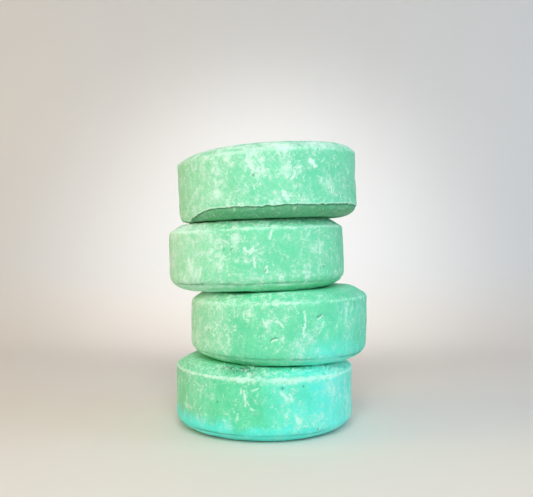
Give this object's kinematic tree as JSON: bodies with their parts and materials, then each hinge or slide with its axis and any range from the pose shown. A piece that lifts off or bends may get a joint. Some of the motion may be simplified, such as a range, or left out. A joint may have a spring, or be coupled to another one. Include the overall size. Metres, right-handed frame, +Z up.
{
  "type": "stack of round shaving soap pucks",
  "caption": "Leaning stack of round, mint-green, hard shaving soap pucks, each a slight wedge with sloping shoulders, resting loose on the one below and lifting off.",
  "frame": {"origin": "centre of the bottom puck's resting face, on the table", "axes": "+Z up along the stack, -Y the front, +X the viewer's right; the row's -Z is the resting face's outward normal"},
  "size_m": [0.0795, 0.0739, 0.1101],
  "materials": {
    "soap": "hard milled soap, matte to faintly waxy, mint green with a whitish powdery bloom"
  },
  "bodies": {
    "bottom_puck": {"bottom_puck": "soap"},
    "second_puck": {"second_puck": "soap"},
    "third_puck": {"third_puck": "soap"},
    "top_puck": {"top_puck": "soap"}
  },
  "joints": [
    {"name": "second_puck_lift", "type": "slide", "parent": "bottom_puck", "child": "second_puck", "axis": [0, 0, 1], "range_m": [0, 0.05]},
    {"name": "third_puck_lift", "type": "slide", "parent": "second_puck", "child": "third_puck", "axis": [0, 0, 1], "range_m": [0, 0.05]},
    {"name": "top_puck_lift", "type": "slide", "parent": "third_puck", "child": "top_puck", "axis": [0, 0, 1], "range_m": [0, 0.05]}
  ]
}
